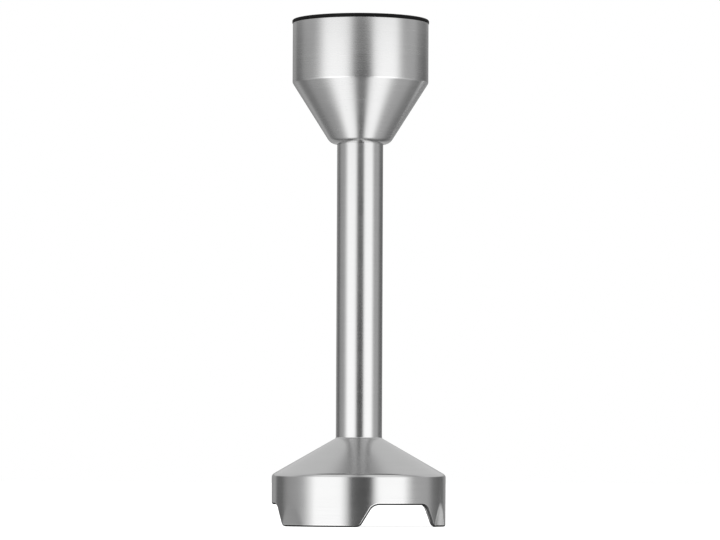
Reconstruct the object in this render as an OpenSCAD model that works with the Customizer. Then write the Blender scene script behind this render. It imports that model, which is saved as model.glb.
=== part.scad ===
// Blending shaft of an immersion blender: a stainless arm that a motor unit plugs into from above.
// The bell's three feet stand on z = 0, and +Z runs up the axis that everything turns about.
// A window of the bell faces -X, and one of its feet faces +X.

/* [Tube] */
// Outside diameter of the long tube
tube_d = 25.4; // [25.2:0.1:26]
// Wall of the tube
tube_wall = 1.4; // [1.2:0.1:1.5]
// Bare length of tube between the bell's neck and the cup's lip
bare_length = 162; // [120:1:260]

/* [Bell] */
// Outside diameter of the bell's skirt
bell_d = 95.6; // [90:0.2:104]
// Height of the bell's shoulder above the surface that the feet stand on
shoulder_z = 28.2; // [27:0.1:32]
// Slope of the bell's cone, in degrees from level
bell_slope = 29.8; // [28:0.1:33]
// Height of the windows between the feet
window_h = 11.9; // [9:0.1:12.6]
// Width of a window along its top edge
window_top_w = 33; // [26:0.5:36]
// Width of a window at the feet's soles
window_sole_w = 46.6; // [40:0.2:48]
// Thickness of the bell's sheet
bell_wall = 1.5; // [1.2:0.1:1.8]

/* [Coupling cup] */
// Outside diameter of the cup
cup_d = 75; // [75:0.2:80]
// Height of the cup from its lip to its rim
cup_h = 66.8; // [66:0.2:74]
// Slope of the cup's cone, in degrees from its axis
cup_slope = 32.3; // [31:0.1:34]
// Thickness of the cup's sheet
cup_wall = 1.4; // [1:0.1:1.4]
// Height of the rubber gasket on the rim
gasket_h = 2; // [1.6:0.1:3]
// Radius of the bore that the motor unit's collar enters
socket_r = 31.5; // [31:0.1:31.8]

/* [Drive] */
// Radius of the shaft between its journals
shaft_r = 5; // [4.8:0.1:5.4]
// Radius of the shaft's journals
journal_r = 4; // [3.9:0.1:4]
// Radius of the blade's tips
blade_r = 23; // [19:0.5:26]
// Rise of the two upper wings, in degrees
wing_rise = 20; // [10:1:24]
// Drop of the two lower wings, in degrees
wing_drop = 8; // [2:1:10]

/* [Fits] */
// Radial clearance of a running fit
run_gap = 0.05; // [0.02:0.01:0.08]
// Radial clearance between pieces that are pressed or clamped together
seat_gap = 0.02; // [0.01:0.01:0.03]

/* [Hidden] */

$fn = 96;
arc_steps = 6;
cut = 1; // how far a cutter runs past the face that it opens

// Tube
tube_r = tube_d / 2;
tube_bore_r = tube_r - tube_wall;

// Bell
bell_r = bell_d / 2;
neck_z = shoulder_z + (bell_r - tube_r) * tan(bell_slope);
neck_h = 8;
shoulder_round = 2.5;
feet = 3;
foot_pitch = 360 / feet;
window_round = 5.5;
sole_round = 3.5;
sole_run = 9; // level stretch of sole that a window's lower corner is rounded into

// Each foot's clockwise flank is pressed flat, leaning in a little towards the sole
press_turn = -20.2;
press_lean = 3.5;
press_depth = 0.84; // how far inside the skirt the flat lies, at the level of the sole
press_h = 18;
press_w = 30;
press_low = 4.5; // how far below the sole the flat is carried on

// Coupling cup
cup_r = cup_d / 2;
lip_z = neck_z + bare_length;
rim_z = lip_z + cup_h;
lip_round = 5.8;
lip_corner_r = tube_r + 3.4;
cone_top_z = lip_z + (cup_r - lip_corner_r) / tan(cup_slope);
cone_round = 2.5;
cup_bore_r = cup_r - cup_wall;
gasket_proud = 0.3;
gasket_leg_h = 4;
gasket_leg_w = 1.5;
gasket_chamfer = 0.4;

// Ball bearing, 8 x 22 x 7
race_w = 7;
race_r = 11;
pitch_r = 7.5;
ball_r = 1.984;
balls = 7;
land = 1.45; // half of the opening between the two races' lands
race_groove_r = ball_r + run_gap;

// Bearing carrier, a turned piece that slides over the tube's top end
tube_top_z = lip_z + 21.7;
sleeve_r = tube_r + 2.8;
sleeve_h = 10;
bearing_z = tube_top_z + 1.5;
bearing_top_z = bearing_z + race_w;
washer_h = 1.5;
clip_t = 1;
clip_reach = 0.9; // how far a circlip stands in its groove
clip_groove = 1;
shaft_groove = 0.3;
clip_z = bearing_top_z + washer_h + 0.1;
carrier_top_z = clip_z + clip_t + 1.4;
flange_r = 30;
flange_h = 4;

// Socket insert, moulded, screwed down on the carrier's flange
insert_wall = 2.5;
insert_floor_h = 3;
insert_r = cup_bore_r - gasket_leg_w - 0.3;
insert_top_z = rim_z + gasket_h - cut;
step_z = insert_top_z - 16;
well_r = 28;
collar_r = 13;
collar_h = 8;
slots = 3;
slot_angle = 10;
slot_turn = 14;
slot_depth = 1.6;
slot_groove_h = 4;
slot_groove_z = step_z + 4;
ribs = 12;
rib_w = 1.8;

// Machine screws through the insert
screws = 4;
screw_ring_r = 24;
screw_r = 2;
screw_head_r = 3.6;
screw_head_h = 2.6;
screw_socket_r = 1.6;
floor_z = carrier_top_z + insert_floor_h;

// Drive coupler
coupler_z = clip_z + 1;
coupler_h = 17.6;
coupler_foot_r = 6.5;
coupler_head_r = 9;
hex_across = 10.4;
hex_depth = 8;
shaft_top_z = coupler_z + coupler_h - hex_depth - 0.6;
pin_z = coupler_z + 4.6;
pin_r = 1.5;

// Lower housing, a cartridge pressed into the tube's lower end
tube_foot_z = neck_z - 14.3;
housing_z = tube_foot_z - 4;
housing_top_z = tube_foot_z + 28;
seal_bore_r = 9;
seal_h = 4.2;
seal_clip_z = housing_z + 1.1;
lower_seal_z = seal_clip_z + clip_t + 0.4;
upper_seal_z = lower_seal_z + seal_h + 0.2;
seal_top_z = upper_seal_z + seal_h + 0.3;
bush_seat_r = 6;
shaft_room = 0.2;
bush_top_z = housing_top_z - 2;
o_ring_r = 1;
o_ring_z = [seal_top_z + 5, seal_top_z + 13];

// Blade stack
slinger_t = 1.4;
slinger_z = housing_z - 1.6 - slinger_t;
blade_t = 1.6;
hub_plate_r = 8;
wing_bend_r = 7;
wing_w = 11;
root_w = wing_w - 0.2;
spacer_h = 5.4;
clamp_r = 6.5; // radius of the faces that clamp the blade
blade_z = slinger_z - spacer_h - blade_t;
seat_r = journal_r - 0.5;
flats = 2 * seat_r - 1.4; // distance across the two flats that turn the blade
thread_r = 3;
washer_t = 1;
nut_h = 5.4;
nut_z = blade_z - washer_t - nut_h;
nut_across = 10;

// Unit vector along v
function unit(v) = v / norm(v);

// Points that round the corner at b, between a and c, to the radius r
function corner(a, b, c, r) =
    let (u = unit(a - b),
         w = unit(c - b),
         half = acos(u * w) / 2,
         centre = b + unit(u + w) * r / sin(half),
         first = b + u * r / tan(half) - centre,
         start = atan2(first.y, first.x),
         sweep = sign(cross(b - a, c - b)) * (180 - 2 * half))
    [for (i = [0:arc_steps]) centre + r * [cos(start + sweep * i / arc_steps), sin(start + sweep * i / arc_steps)]];

function flat(p) = [p.x, p.y];

// An open path of [x, y, corner radius] as plain points
function rounded(path) =
    let (last = len(path) - 1)
    [for (i = [0:last])
        each (i == 0 || i == last || path[i].z == 0)
            ? [flat(path[i])]
            : corner(flat(path[i - 1]), flat(path[i]), flat(path[i + 1]), path[i].z)];

// Left-hand normal of the path's stretch that starts at point i
function left(path, i) = let (d = unit(flat(path[i + 1]) - flat(path[i]))) [-d.y, d.x];

// The same path moved t to its left, with its corner radii to match
function moved(path, t) =
    let (last = len(path) - 1)
    [for (i = [0:last])
        let (before = left(path, max(i - 1, 0)),
             after = left(path, min(i, last - 1)),
             p = flat(path[i]) + t * (before + after) / (1 + before * after),
             turn = sign(cross(before, after)))
        [p.x, p.y, max(0, path[i].z - turn * t)]];

function backwards(points) = [for (i = [len(points) - 1:-1:0]) points[i]];

// Section of a sheet whose one face follows path, with its thickness t to the path's left
module sheet(path, t) {
    polygon(concat(rounded(path), backwards(rounded(moved(path, t)))));
}

// A tube of round section between two heights
module ring(outer, inner, low, high) {
    translate([0, 0, low])
        difference() {
            cylinder(h = high - low, r = outer);
            translate([0, 0, -cut])
                cylinder(h = high - low + 2 * cut, r = inner);
        }
}

// A torus of section radius r on a circle of radius big, at height z
module torus(big, r, z) {
    translate([0, 0, z])
        rotate_extrude()
            translate([big, 0])
                circle(r = r, $fn = 32);
}

module sector(r, angle, low, high) {
    translate([0, 0, low])
        rotate([0, 0, -angle / 2])
            rotate_extrude(angle = angle)
                square([r, high - low]);
}

module coupling_cup() {
    color("silver")
        rotate_extrude()
            sheet([[tube_r, lip_z, 0], [lip_corner_r, lip_z, lip_round],
                   [cup_r, cone_top_z, cone_round], [cup_r, rim_z, 0]], cup_wall);
}

// Black rubber ring that caps the rim, with a leg down the inside of the cup
module rim_gasket() {
    leg_r = cup_bore_r - seat_gap;
    color("#1c1c1c")
        rotate_extrude()
            polygon([[leg_r - gasket_leg_w, rim_z - gasket_leg_h], [leg_r, rim_z - gasket_leg_h],
                     [leg_r, rim_z], [cup_r + gasket_proud, rim_z],
                     [cup_r + gasket_proud, rim_z + gasket_h - gasket_chamfer],
                     [cup_r + gasket_proud - gasket_chamfer, rim_z + gasket_h],
                     [leg_r - gasket_leg_w, rim_z + gasket_h]]);
}

// One bayonet slot: a lug drops down it and then turns under the ledge
module bayonet_slot() {
    reach = socket_r + slot_depth;
    sector(reach, slot_angle, slot_groove_z, insert_top_z + cut);
    rotate([0, 0, slot_turn / 2])
        sector(reach, slot_angle + slot_turn, slot_groove_z, slot_groove_z + slot_groove_h);
}

module socket_insert() {
    color("#2a2a2c")
        difference() {
            union() {
                ring(well_r + insert_wall, well_r, carrier_top_z, step_z);
                ring(insert_r, well_r, step_z - insert_wall, step_z);
                ring(insert_r, socket_r, step_z, insert_top_z);
                ring(well_r + insert_wall, collar_r, carrier_top_z, floor_z);
                ring(collar_r + 2, collar_r, floor_z, floor_z + collar_h);
                for (i = [0:ribs - 1])
                    rotate([0, 0, i * 360 / ribs])
                        translate([well_r + 1, -rib_w / 2, floor_z])
                            cube([insert_r - well_r - 1.6, rib_w, step_z - insert_wall - floor_z]);
            }
            difference() {
                for (i = [0:slots - 1])
                    rotate([0, 0, i * 360 / slots])
                        bayonet_slot();
                translate([0, 0, step_z])
                    cylinder(h = 20, r = socket_r - 0.5);
            }
            screw_places()
                translate([0, 0, carrier_top_z - cut])
                    cylinder(h = insert_floor_h + 2 * cut, r = screw_r + 0.25);
        }
}

// Repeats its children where the machine screws are
module screw_places() {
    for (i = [0:screws - 1])
        rotate([0, 0, 45 + i * 360 / screws])
            translate([screw_ring_r, 0, 0])
                children();
}

module insert_screws() {
    color("dimgray")
        screw_places()
            difference() {
                union() {
                    translate([0, 0, carrier_top_z - flange_h + 0.2])
                        cylinder(h = flange_h + insert_floor_h, r = screw_r);
                    translate([0, 0, floor_z])
                        cylinder(h = screw_head_h, r = screw_head_r);
                }
                translate([0, 0, floor_z + 1])
                    cylinder(h = screw_head_h, r = screw_socket_r, $fn = 6);
            }
}

module bearing_carrier() {
    color("darkgray")
        difference() {
            union() {
                translate([0, 0, tube_top_z - sleeve_h])
                    cylinder(h = carrier_top_z - tube_top_z + sleeve_h, r = sleeve_r);
                translate([0, 0, carrier_top_z - flange_h])
                    cylinder(h = flange_h, r = flange_r);
            }
            translate([0, 0, tube_top_z - sleeve_h - cut])
                cylinder(h = sleeve_h + cut, r = tube_r + seat_gap);
            translate([0, 0, tube_top_z - cut])
                cylinder(h = 2 * cut + bearing_z - tube_top_z, r = race_r - 1.6);
            translate([0, 0, bearing_z])
                cylinder(h = carrier_top_z - bearing_z + cut, r = race_r + seat_gap);
            translate([0, 0, clip_z - seat_gap])
                cylinder(h = clip_t + 2 * seat_gap, r = race_r + clip_groove);
            screw_places()
                translate([0, 0, carrier_top_z - flange_h - cut])
                    cylinder(h = flange_h + 2 * cut, r = screw_r + seat_gap);
        }
}

module race_groove() {
    torus(pitch_r, race_groove_r, bearing_z + race_w / 2);
}

module bearing_outer_race() {
    color("gainsboro")
        difference() {
            ring(race_r, pitch_r + land, bearing_z, bearing_top_z);
            race_groove();
        }
}

module bearing_inner_race() {
    color("gainsboro")
        difference() {
            ring(pitch_r - land, journal_r + seat_gap, bearing_z, bearing_top_z);
            race_groove();
        }
}

// Repeats its children where the balls are
module ball_places() {
    for (i = [0:balls - 1])
        rotate([0, 0, i * 360 / balls])
            translate([pitch_r, 0, bearing_z + race_w / 2])
                children();
}

module bearing_cage() {
    middle = bearing_z + race_w / 2;
    half_w = 0.9;
    color("tan")
        difference() {
            ring(pitch_r + half_w, pitch_r - half_w, middle - 1.4, middle + 2.2);
            ball_places()
                sphere(r = ball_r + run_gap, $fn = 48);
        }
}

module bearing_balls() {
    color("white")
        ball_places()
            sphere(r = ball_r, $fn = 48);
}

module bearing_shields() {
    color("slategray")
        for (z = [bearing_z + 0.3, bearing_top_z - 0.6])
            ring(pitch_r + land - seat_gap, pitch_r - land + 0.2, z, z + 0.3);
}

// Conical washer that keeps the bearing seated
module preload_washer() {
    color("lightsteelblue")
        rotate_extrude()
            polygon([[race_r - 1.7, bearing_top_z + washer_h - 0.4], [race_r - 0.2, bearing_top_z],
                     [race_r - 0.2, bearing_top_z + 0.4], [race_r - 1.7, bearing_top_z + washer_h]]);
}

// Open retaining ring with two pierced ears, cut between two radii, turned to open at -Y
module circlip(outer, inner, ear_r, opening, low) {
    ear_turn = opening + 8;
    translate([0, 0, low])
        linear_extrude(clip_t)
            difference() {
                union() {
                    difference() {
                        circle(r = outer);
                        circle(r = inner);
                        polygon([[0, 0], [-2 * outer * sin(opening), -2 * outer * cos(opening)],
                                 [2 * outer * sin(opening), -2 * outer * cos(opening)]]);
                    }
                    for (side = [-1, 1])
                        rotate([0, 0, side * ear_turn])
                            translate([0, -ear_r])
                                circle(r = 1.3, $fn = 32);
                }
                for (side = [-1, 1])
                    rotate([0, 0, side * ear_turn])
                        translate([0, -ear_r])
                            circle(r = 0.6, $fn = 24);
            }
}

module bearing_circlip() {
    color("#3c3c40")
        circlip(race_r + clip_reach, race_r - 1.1, race_r - 1.6, 14, clip_z);
}

// Flat retaining ring in the shaft's groove, on top of the inner race
module shaft_circlip() {
    t = 0.8;
    color("#3c3c40")
        translate([0, 0, bearing_top_z + 0.1])
            difference() {
                cylinder(h = t, r = journal_r + 1.6);
                translate([0, 0, -cut])
                    cylinder(h = t + 2 * cut, r = journal_r - shaft_groove + seat_gap);
                translate([-1.6, -journal_r - 3, -cut])
                    cube([3.2, 4, t + 2 * cut]);
            }
}

module shaft_tube() {
    color("silver")
        ring(tube_r, tube_bore_r, tube_foot_z, tube_top_z);
}

// Guide half way up the tube, fluted so that it presses in easily
module mid_bush() {
    middle = (tube_foot_z + tube_top_z) / 2;
    half_h = 7;
    flutes = 6;
    color("ivory")
        difference() {
            ring(tube_bore_r - seat_gap, shaft_r + run_gap, middle - half_h, middle + half_h);
            for (i = [0:flutes - 1])
                rotate([0, 0, i * 360 / flutes])
                    translate([tube_bore_r, 0, middle - half_h - cut])
                        cylinder(h = 2 * (half_h + cut), r = 2.4);
        }
}

// Cutter for one window, facing +X: its sides splay down to the soles
module window_cutter() {
    top = window_top_w / 2;
    sole = window_sole_w / 2;
    right_side = concat(corner([0, window_h], [top, window_h], [sole, 0], window_round),
                        corner([top, window_h], [sole, 0], [sole + sole_run, 0], sole_round));
    low = last_point(right_side).x;
    rotate([90, 0, 90])
        translate([0, 0, bell_r / 2])
            linear_extrude(bell_r)
                polygon(concat(right_side, [[low, -cut], [-low, -cut]],
                               [for (p = backwards(right_side)) [-p.x, p.y]]));
}

function last_point(points) = points[len(points) - 1];

// Puts its children on the flat that is pressed into the clockwise flank of the foot at +X
module on_press() {
    rotate([0, 0, press_turn])
        rotate([0, press_lean, 0])
            translate([bell_r - press_depth, -press_w / 2, -press_low])
                children();
}

module each_foot(offset = 0) {
    for (i = [0:feet - 1])
        rotate([0, 0, offset + i * foot_pitch])
            children();
}

module bell() {
    color("silver")
        difference() {
            union() {
                rotate_extrude()
                    sheet([[tube_r + seat_gap, neck_z - neck_h, 0], [tube_r + seat_gap, neck_z, 0],
                           [bell_r, shoulder_z, shoulder_round], [bell_r, 0, 0]], -bell_wall);
                each_foot()
                    intersection() {
                        cylinder(h = press_h, r = bell_r - bell_wall / 2);
                        on_press()
                            translate([-bell_wall, 0, 0])
                                cube([bell_wall, press_w, press_h]);
                    }
            }
            each_foot()
                on_press()
                    cube([bell_wall * 4, press_w, press_h]);
            each_foot(foot_pitch / 2)
                window_cutter();
        }
}

module lower_housing() {
    color("darkgray")
        difference() {
            union() {
                translate([0, 0, housing_z])
                    cylinder(h = tube_foot_z - housing_z, r = tube_r);
                translate([0, 0, tube_foot_z])
                    cylinder(h = housing_top_z - tube_foot_z, r = tube_bore_r - seat_gap);
            }
            translate([0, 0, housing_z - cut])
                cylinder(h = seal_top_z - housing_z + cut, r = seal_bore_r);
            translate([0, 0, seal_clip_z - seat_gap])
                cylinder(h = clip_t + 2 * seat_gap, r = seal_bore_r + clip_groove);
            translate([0, 0, seal_top_z - cut])
                cylinder(h = bush_top_z - seal_top_z + cut, r = bush_seat_r);
            translate([0, 0, bush_top_z - cut])
                cylinder(h = housing_top_z - bush_top_z + 2 * cut, r = shaft_r + shaft_room);
            for (z = o_ring_z)
                ring(tube_bore_r + cut, tube_bore_r - 2 * o_ring_r - 0.1, z - o_ring_r - 0.2, z + o_ring_r + 0.2);
        }
}

module lower_bush() {
    color("peru")
        ring(bush_seat_r - seat_gap, journal_r + run_gap, seal_top_z + 0.5, bush_top_z - 0.2);
}

module housing_o_rings() {
    color("#1c1c1c")
        for (z = o_ring_z)
            torus(tube_bore_r - o_ring_r - 0.05, o_ring_r, z);
}

// Lip seal: an outer wall, a web, and a lip that wipes the shaft
module lip_seal(low) {
    lip = journal_r + run_gap;
    color("#26201c")
        translate([0, 0, low])
            rotate_extrude()
                polygon([[seal_bore_r - seat_gap, 0], [seal_bore_r - seat_gap, seal_h], [lip + 0.9, seal_h],
                         [lip + 0.3, 2.2], [lip, 1.4], [lip + 0.5, 0.4], [lip + 1.2, 0.4],
                         [lip + 1.4, 1.8], [lip + 1.6, seal_h - 1], [seal_bore_r - 1.4, seal_h - 1],
                         [seal_bore_r - 1.4, 0]]);
}

module upper_seal() {
    lip_seal(upper_seal_z);
}

module lower_seal() {
    lip_seal(lower_seal_z);
}

// Garter springs that close the two lips on the shaft
module seal_springs() {
    section_r = 0.45;
    color("silver")
        for (z = [lower_seal_z, upper_seal_z])
            torus(journal_r + run_gap + 1.36 + section_r, section_r, z + 1.1);
}

module seal_circlip() {
    color("#3c3c40")
        circlip(seal_bore_r + clip_reach, seal_bore_r - 0.9, seal_bore_r - 1.3, 16, seal_clip_z);
}

module drive_shaft() {
    color("lightgray")
        difference() {
            union() {
                translate([0, 0, nut_z + 1.6])
                    cylinder(h = blade_z - nut_z, r = thread_r);
                translate([0, 0, blade_z + 0.2])
                    intersection() {
                        cylinder(h = slinger_z + slinger_t - blade_z, r = seat_r);
                        translate([-flats / 2, -2 * seat_r, 0])
                            cube([flats, 4 * seat_r, slinger_z + slinger_t - blade_z]);
                    }
                translate([0, 0, slinger_z + slinger_t])
                    cylinder(h = shaft_top_z - slinger_z - slinger_t, r = journal_r);
                translate([0, 0, housing_top_z + 1])
                    cylinder(h = bearing_z - housing_top_z - 1, r = shaft_r);
            }
            ring(journal_r + cut, journal_r - shaft_groove, bearing_top_z + 0.05, bearing_top_z + 0.95);
            translate([0, 0, pin_z])
                rotate([90, 0, 0])
                    cylinder(h = 4 * journal_r, r = pin_r + seat_gap, center = true);
        }
}

// Female coupler: the motor's hexagonal spindle drops into its open top
module drive_coupler() {
    head_h = hex_depth + 1.2;
    hex_r = hex_across / 2 / cos(30);
    color("#e8e4da")
        translate([0, 0, coupler_z])
            difference() {
                union() {
                    cylinder(h = coupler_h, r = coupler_foot_r);
                    translate([0, 0, coupler_h - head_h])
                        cylinder(h = head_h, r = coupler_head_r);
                }
                translate([0, 0, -cut])
                    cylinder(h = shaft_top_z - coupler_z + 0.1 + cut, r = journal_r + seat_gap);
                translate([0, 0, coupler_h - hex_depth])
                    cylinder(h = hex_depth + cut, r = hex_r, $fn = 6);
                translate([0, 0, coupler_h - 0.8])
                    cylinder(h = 0.8 + 0.01, r1 = hex_r - 0.6, r2 = hex_r + 0.4);
                translate([0, 0, pin_z - coupler_z])
                    rotate([90, 0, 0])
                        cylinder(h = 4 * coupler_foot_r, r = pin_r + seat_gap, center = true);
            }
}

module coupler_pin() {
    color("dimgray")
        translate([0, 0, pin_z])
            rotate([90, 0, 0])
                cylinder(h = 2 * coupler_foot_r - 0.4, r = pin_r, center = true);
}

// Disc that throws liquid clear of the seals
module slinger_washer() {
    color("whitesmoke")
        ring(seal_bore_r, seat_r + seat_gap, slinger_z, slinger_z + slinger_t);
}

module blade_spacer() {
    color("silver")
        difference() {
            translate([0, 0, blade_z + blade_t])
                rotate_extrude()
                    polygon([[0, 0], [clamp_r, 0], [clamp_r, 2.4], [5.4, 3.6], [5.4, spacer_h], [0, spacer_h]]);
            translate([0, 0, blade_z])
                cylinder(h = spacer_h + blade_t + cut, r = seat_r + seat_gap);
        }
}

// One wing along +X, ground to an edge on its leading side, with a tapered and angled tip
module wing(tilt) {
    tip_w = 7;
    tip_cut = 3;
    tip_lean = 1;
    bevel = 2.6;
    lap = 0.3; // how far the wing runs back into the hub
    span = blade_r / cos(tilt) - wing_bend_r;
    translate([wing_bend_r, 0, 0])
        rotate([0, -tilt, 0])
            intersection() {
                rotate([90, 0, 90])
                    translate([0, 0, -lap])
                        linear_extrude(span + lap)
                            polygon([[-wing_w / 2, 0], [wing_w / 2 - bevel, 0], [wing_w / 2, blade_t],
                                     [-wing_w / 2, blade_t]]);
                translate([0, 0, -cut])
                    linear_extrude(blade_t + 2 * cut)
                        polygon([[-lap, -wing_w / 2], [span - tip_cut, -tip_w / 2], [span, 0],
                                 [span - tip_lean, wing_w / 2], [-lap, wing_w / 2]]);
            }
}

module blade() {
    color("gainsboro")
        difference() {
            translate([0, 0, blade_z])
                union() {
                    cylinder(h = blade_t, r = hub_plate_r);
                    for (side = [0, 90])
                        rotate([0, 0, side])
                            translate([-wing_bend_r, -root_w / 2, 0])
                                cube([2 * wing_bend_r, root_w, blade_t]);
                    for (side = [0, 180]) {
                        rotate([0, 0, side])
                            wing(wing_rise);
                        rotate([0, 0, side + 90])
                            wing(-wing_drop);
                    }
                }
            translate([0, 0, blade_z - cut])
                intersection() {
                    cylinder(h = blade_t + 2 * cut, r = seat_r + seat_gap);
                    translate([-flats / 2 - seat_gap, -2 * seat_r, 0])
                        cube([flats + 2 * seat_gap, 4 * seat_r, blade_t + 2 * cut]);
                }
        }
}

module blade_washer() {
    color("silver")
        ring(clamp_r, thread_r + seat_gap, blade_z - washer_t, blade_z);
}

// Domed nut that holds the blade
module blade_nut() {
    dome_r = nut_across * 0.62;
    color("silver")
        difference() {
            translate([0, 0, nut_z])
                intersection() {
                    cylinder(h = nut_h, r = nut_across / 2 / cos(30), $fn = 6);
                    translate([0, 0, dome_r])
                        sphere(r = dome_r);
                }
            translate([0, 0, nut_z + 1.5])
                cylinder(h = nut_h, r = thread_r + seat_gap);
        }
}

coupling_cup();
rim_gasket();
socket_insert();
insert_screws();
bearing_carrier();
bearing_outer_race();
bearing_inner_race();
bearing_cage();
bearing_balls();
bearing_shields();
preload_washer();
bearing_circlip();
shaft_circlip();
shaft_tube();
mid_bush();
bell();
lower_housing();
lower_bush();
housing_o_rings();
upper_seal();
lower_seal();
seal_springs();
seal_circlip();
drive_shaft();
drive_coupler();
coupler_pin();
slinger_washer();
blade_spacer();
blade();
blade_washer();
blade_nut();
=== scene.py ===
"""Looks of the blending shaft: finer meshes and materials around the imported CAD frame.

Lengths are millimetres in the code and metres in Blender. Pieces are turned about the Z axis, as the real ones are,
so most are a profile of (radius, height, corner radius) points swept round by lathe().
"""

from math import asin, atan2, ceil, cos, degrees, pi, radians, sin, sqrt, tan

import bmesh
import bpy
from mathutils import Matrix, Vector


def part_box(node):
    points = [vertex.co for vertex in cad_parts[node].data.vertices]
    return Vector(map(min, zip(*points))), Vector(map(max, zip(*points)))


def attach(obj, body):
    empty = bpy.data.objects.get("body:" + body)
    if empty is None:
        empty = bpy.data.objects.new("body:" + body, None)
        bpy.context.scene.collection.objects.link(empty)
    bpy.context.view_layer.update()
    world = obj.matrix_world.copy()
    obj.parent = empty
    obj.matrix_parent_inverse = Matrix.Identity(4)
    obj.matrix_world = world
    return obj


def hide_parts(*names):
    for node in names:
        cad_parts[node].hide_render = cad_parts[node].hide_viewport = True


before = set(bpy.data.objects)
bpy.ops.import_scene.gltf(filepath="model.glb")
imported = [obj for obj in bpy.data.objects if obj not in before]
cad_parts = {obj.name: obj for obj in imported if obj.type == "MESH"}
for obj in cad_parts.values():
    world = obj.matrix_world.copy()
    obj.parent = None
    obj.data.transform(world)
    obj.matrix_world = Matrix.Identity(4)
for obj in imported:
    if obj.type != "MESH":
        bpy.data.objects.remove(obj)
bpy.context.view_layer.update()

MM = 0.001
STEPS = 192  # facets round a turned piece
FEET = 3
PITCH = 360 / FEET
FIT = 0.02  # clearance of a seated piece
GROOVE_ROOM = 0.1  # how much deeper a groove is than the ring in it


class Size:
    """A CAD node's box in millimetres: its outer radius along X, and its lowest and highest level."""

    def __init__(self, node):
        low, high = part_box(node)
        self.r = high.x / MM
        self.low = low.z / MM
        self.top = high.z / MM


cup = Size("coupling_cup")
gasket = Size("rim_gasket")
insert = Size("socket_insert")
screw = Size("insert_screws")
carrier = Size("bearing_carrier")
tube = Size("shaft_tube")
bell = Size("bell")
housing = Size("lower_housing")
upper_seal = Size("upper_seal")
seal_clip = Size("seal_circlip")
o_rings = Size("housing_o_rings")
bearing_clip = Size("bearing_circlip")
slinger = Size("slinger_washer")
spacer = Size("blade_spacer")
blade = Size("blade")
washer = Size("blade_washer")
nut = Size("blade_nut")
coupler = Size("drive_coupler")
outer_race = Size("bearing_outer_race")

# ------------------------------------------------------------------ outlines


def arc_corner(a, b, c, radius):
    """Points that round the corner at b, between a and c, one for every 8 degrees or so."""
    a, b, c = Vector(a[:2]), Vector(b[:2]), Vector(c[:2])
    to_a, to_c = (a - b).normalized(), (c - b).normalized()
    half = to_a.angle(to_c) / 2
    centre = b + (to_a + to_c).normalized() * radius / sin(half)
    first = b + to_a * radius / tan(half) - centre
    turn = pi - 2 * half
    if (b - a).cross(c - b) < 0:
        turn = -turn
    steps = max(3, ceil(degrees(abs(turn)) / 8))
    points = []
    for i in range(steps + 1):
        angle = turn * i / steps
        points.append((centre.x + first.x * cos(angle) - first.y * sin(angle),
                       centre.y + first.x * sin(angle) + first.y * cos(angle)))
    return points


def rounded(path, closed=True):
    """Plain points of a path whose points may carry a corner radius as a third number."""
    points = []
    count = len(path)
    for i, p in enumerate(path):
        end = not closed and i in (0, count - 1)
        if len(p) < 3 or end:
            points.append((p[0], p[1]))
        else:
            points += arc_corner(path[i - 1], p, path[(i + 1) % count], p[2])
    return points


def moved(path, t):
    """An open path moved t to its left, with its corner radii to match."""
    normals = []
    for p, q in zip(path, path[1:]):
        d = (Vector(q[:2]) - Vector(p[:2])).normalized()
        normals.append(Vector((-d.y, d.x)))
    result = []
    for i, p in enumerate(path):
        before = normals[max(i - 1, 0)]
        after = normals[min(i, len(normals) - 1)]
        place = Vector(p[:2]) + t * (before + after) / (1 + before.dot(after))
        turn = before.cross(after)
        radius = p[2] if len(p) > 2 else 0
        if radius:
            radius = max(0.3, radius - t * (1 if turn > 0 else -1))
            result.append((place.x, place.y, radius))
        else:
            result.append((place.x, place.y))
    return result


def sheet(path, t):
    """Closed section of a sheet of thickness t, to the left of path, with its cut edges just broken."""
    edge = min(0.3, abs(t) / 3)
    face = [(path[0][0], path[0][1], edge), *path[1:-1], (path[-1][0], path[-1][1], edge)]
    back = moved(path, t)
    back = [(back[0][0], back[0][1], edge), *back[1:-1], (back[-1][0], back[-1][1], edge)]
    return rounded(face + back[::-1])


# ------------------------------------------------------------------ meshes


def new_piece(name, bm, body, material, replaces=(), sharp=35):
    """Makes the piece from a bmesh in metres, shades it smooth up to the sharp angle, and puts it on its body."""
    bmesh.ops.recalc_face_normals(bm, faces=bm.faces)
    mesh = bpy.data.meshes.new(name)
    bm.to_mesh(mesh)
    bm.free()
    piece = bpy.data.objects.new(name, mesh)
    bpy.context.scene.collection.objects.link(piece)
    for polygon in mesh.polygons:
        polygon.use_smooth = True
    mesh.set_sharp_from_angle(angle=radians(sharp))
    mesh.materials.append(material)
    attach(piece, body)
    for node in replaces:
        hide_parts(node)
    return piece


def turned(profile, steps=STEPS):
    """bmesh of a closed profile of (radius, height) points swept round Z. A stretch on the axis closes the solid."""
    bm = bmesh.new()
    rings = []
    for r, z in profile:
        if r < 1e-6:
            rings.append([bm.verts.new((0, 0, z * MM))] * steps)
        else:
            angles = [2 * pi * i / steps for i in range(steps)]
            rings.append([bm.verts.new((r * cos(a) * MM, r * sin(a) * MM, z * MM)) for a in angles])
    for lower, upper in zip(rings, rings[1:] + rings[:1]):
        for i in range(steps):
            j = (i + 1) % steps
            corners = []
            for vert in (lower[i], lower[j], upper[j], upper[i]):
                if vert not in corners:
                    corners.append(vert)
            if len(corners) > 2:
                bm.faces.new(corners)
    return bm


def lathe(name, path, body, material, replaces=(), steps=STEPS):
    """A turned piece from a closed path of (radius, height, corner radius) points."""
    return new_piece(name, turned(rounded(path), steps), body, material, replaces)


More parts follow.
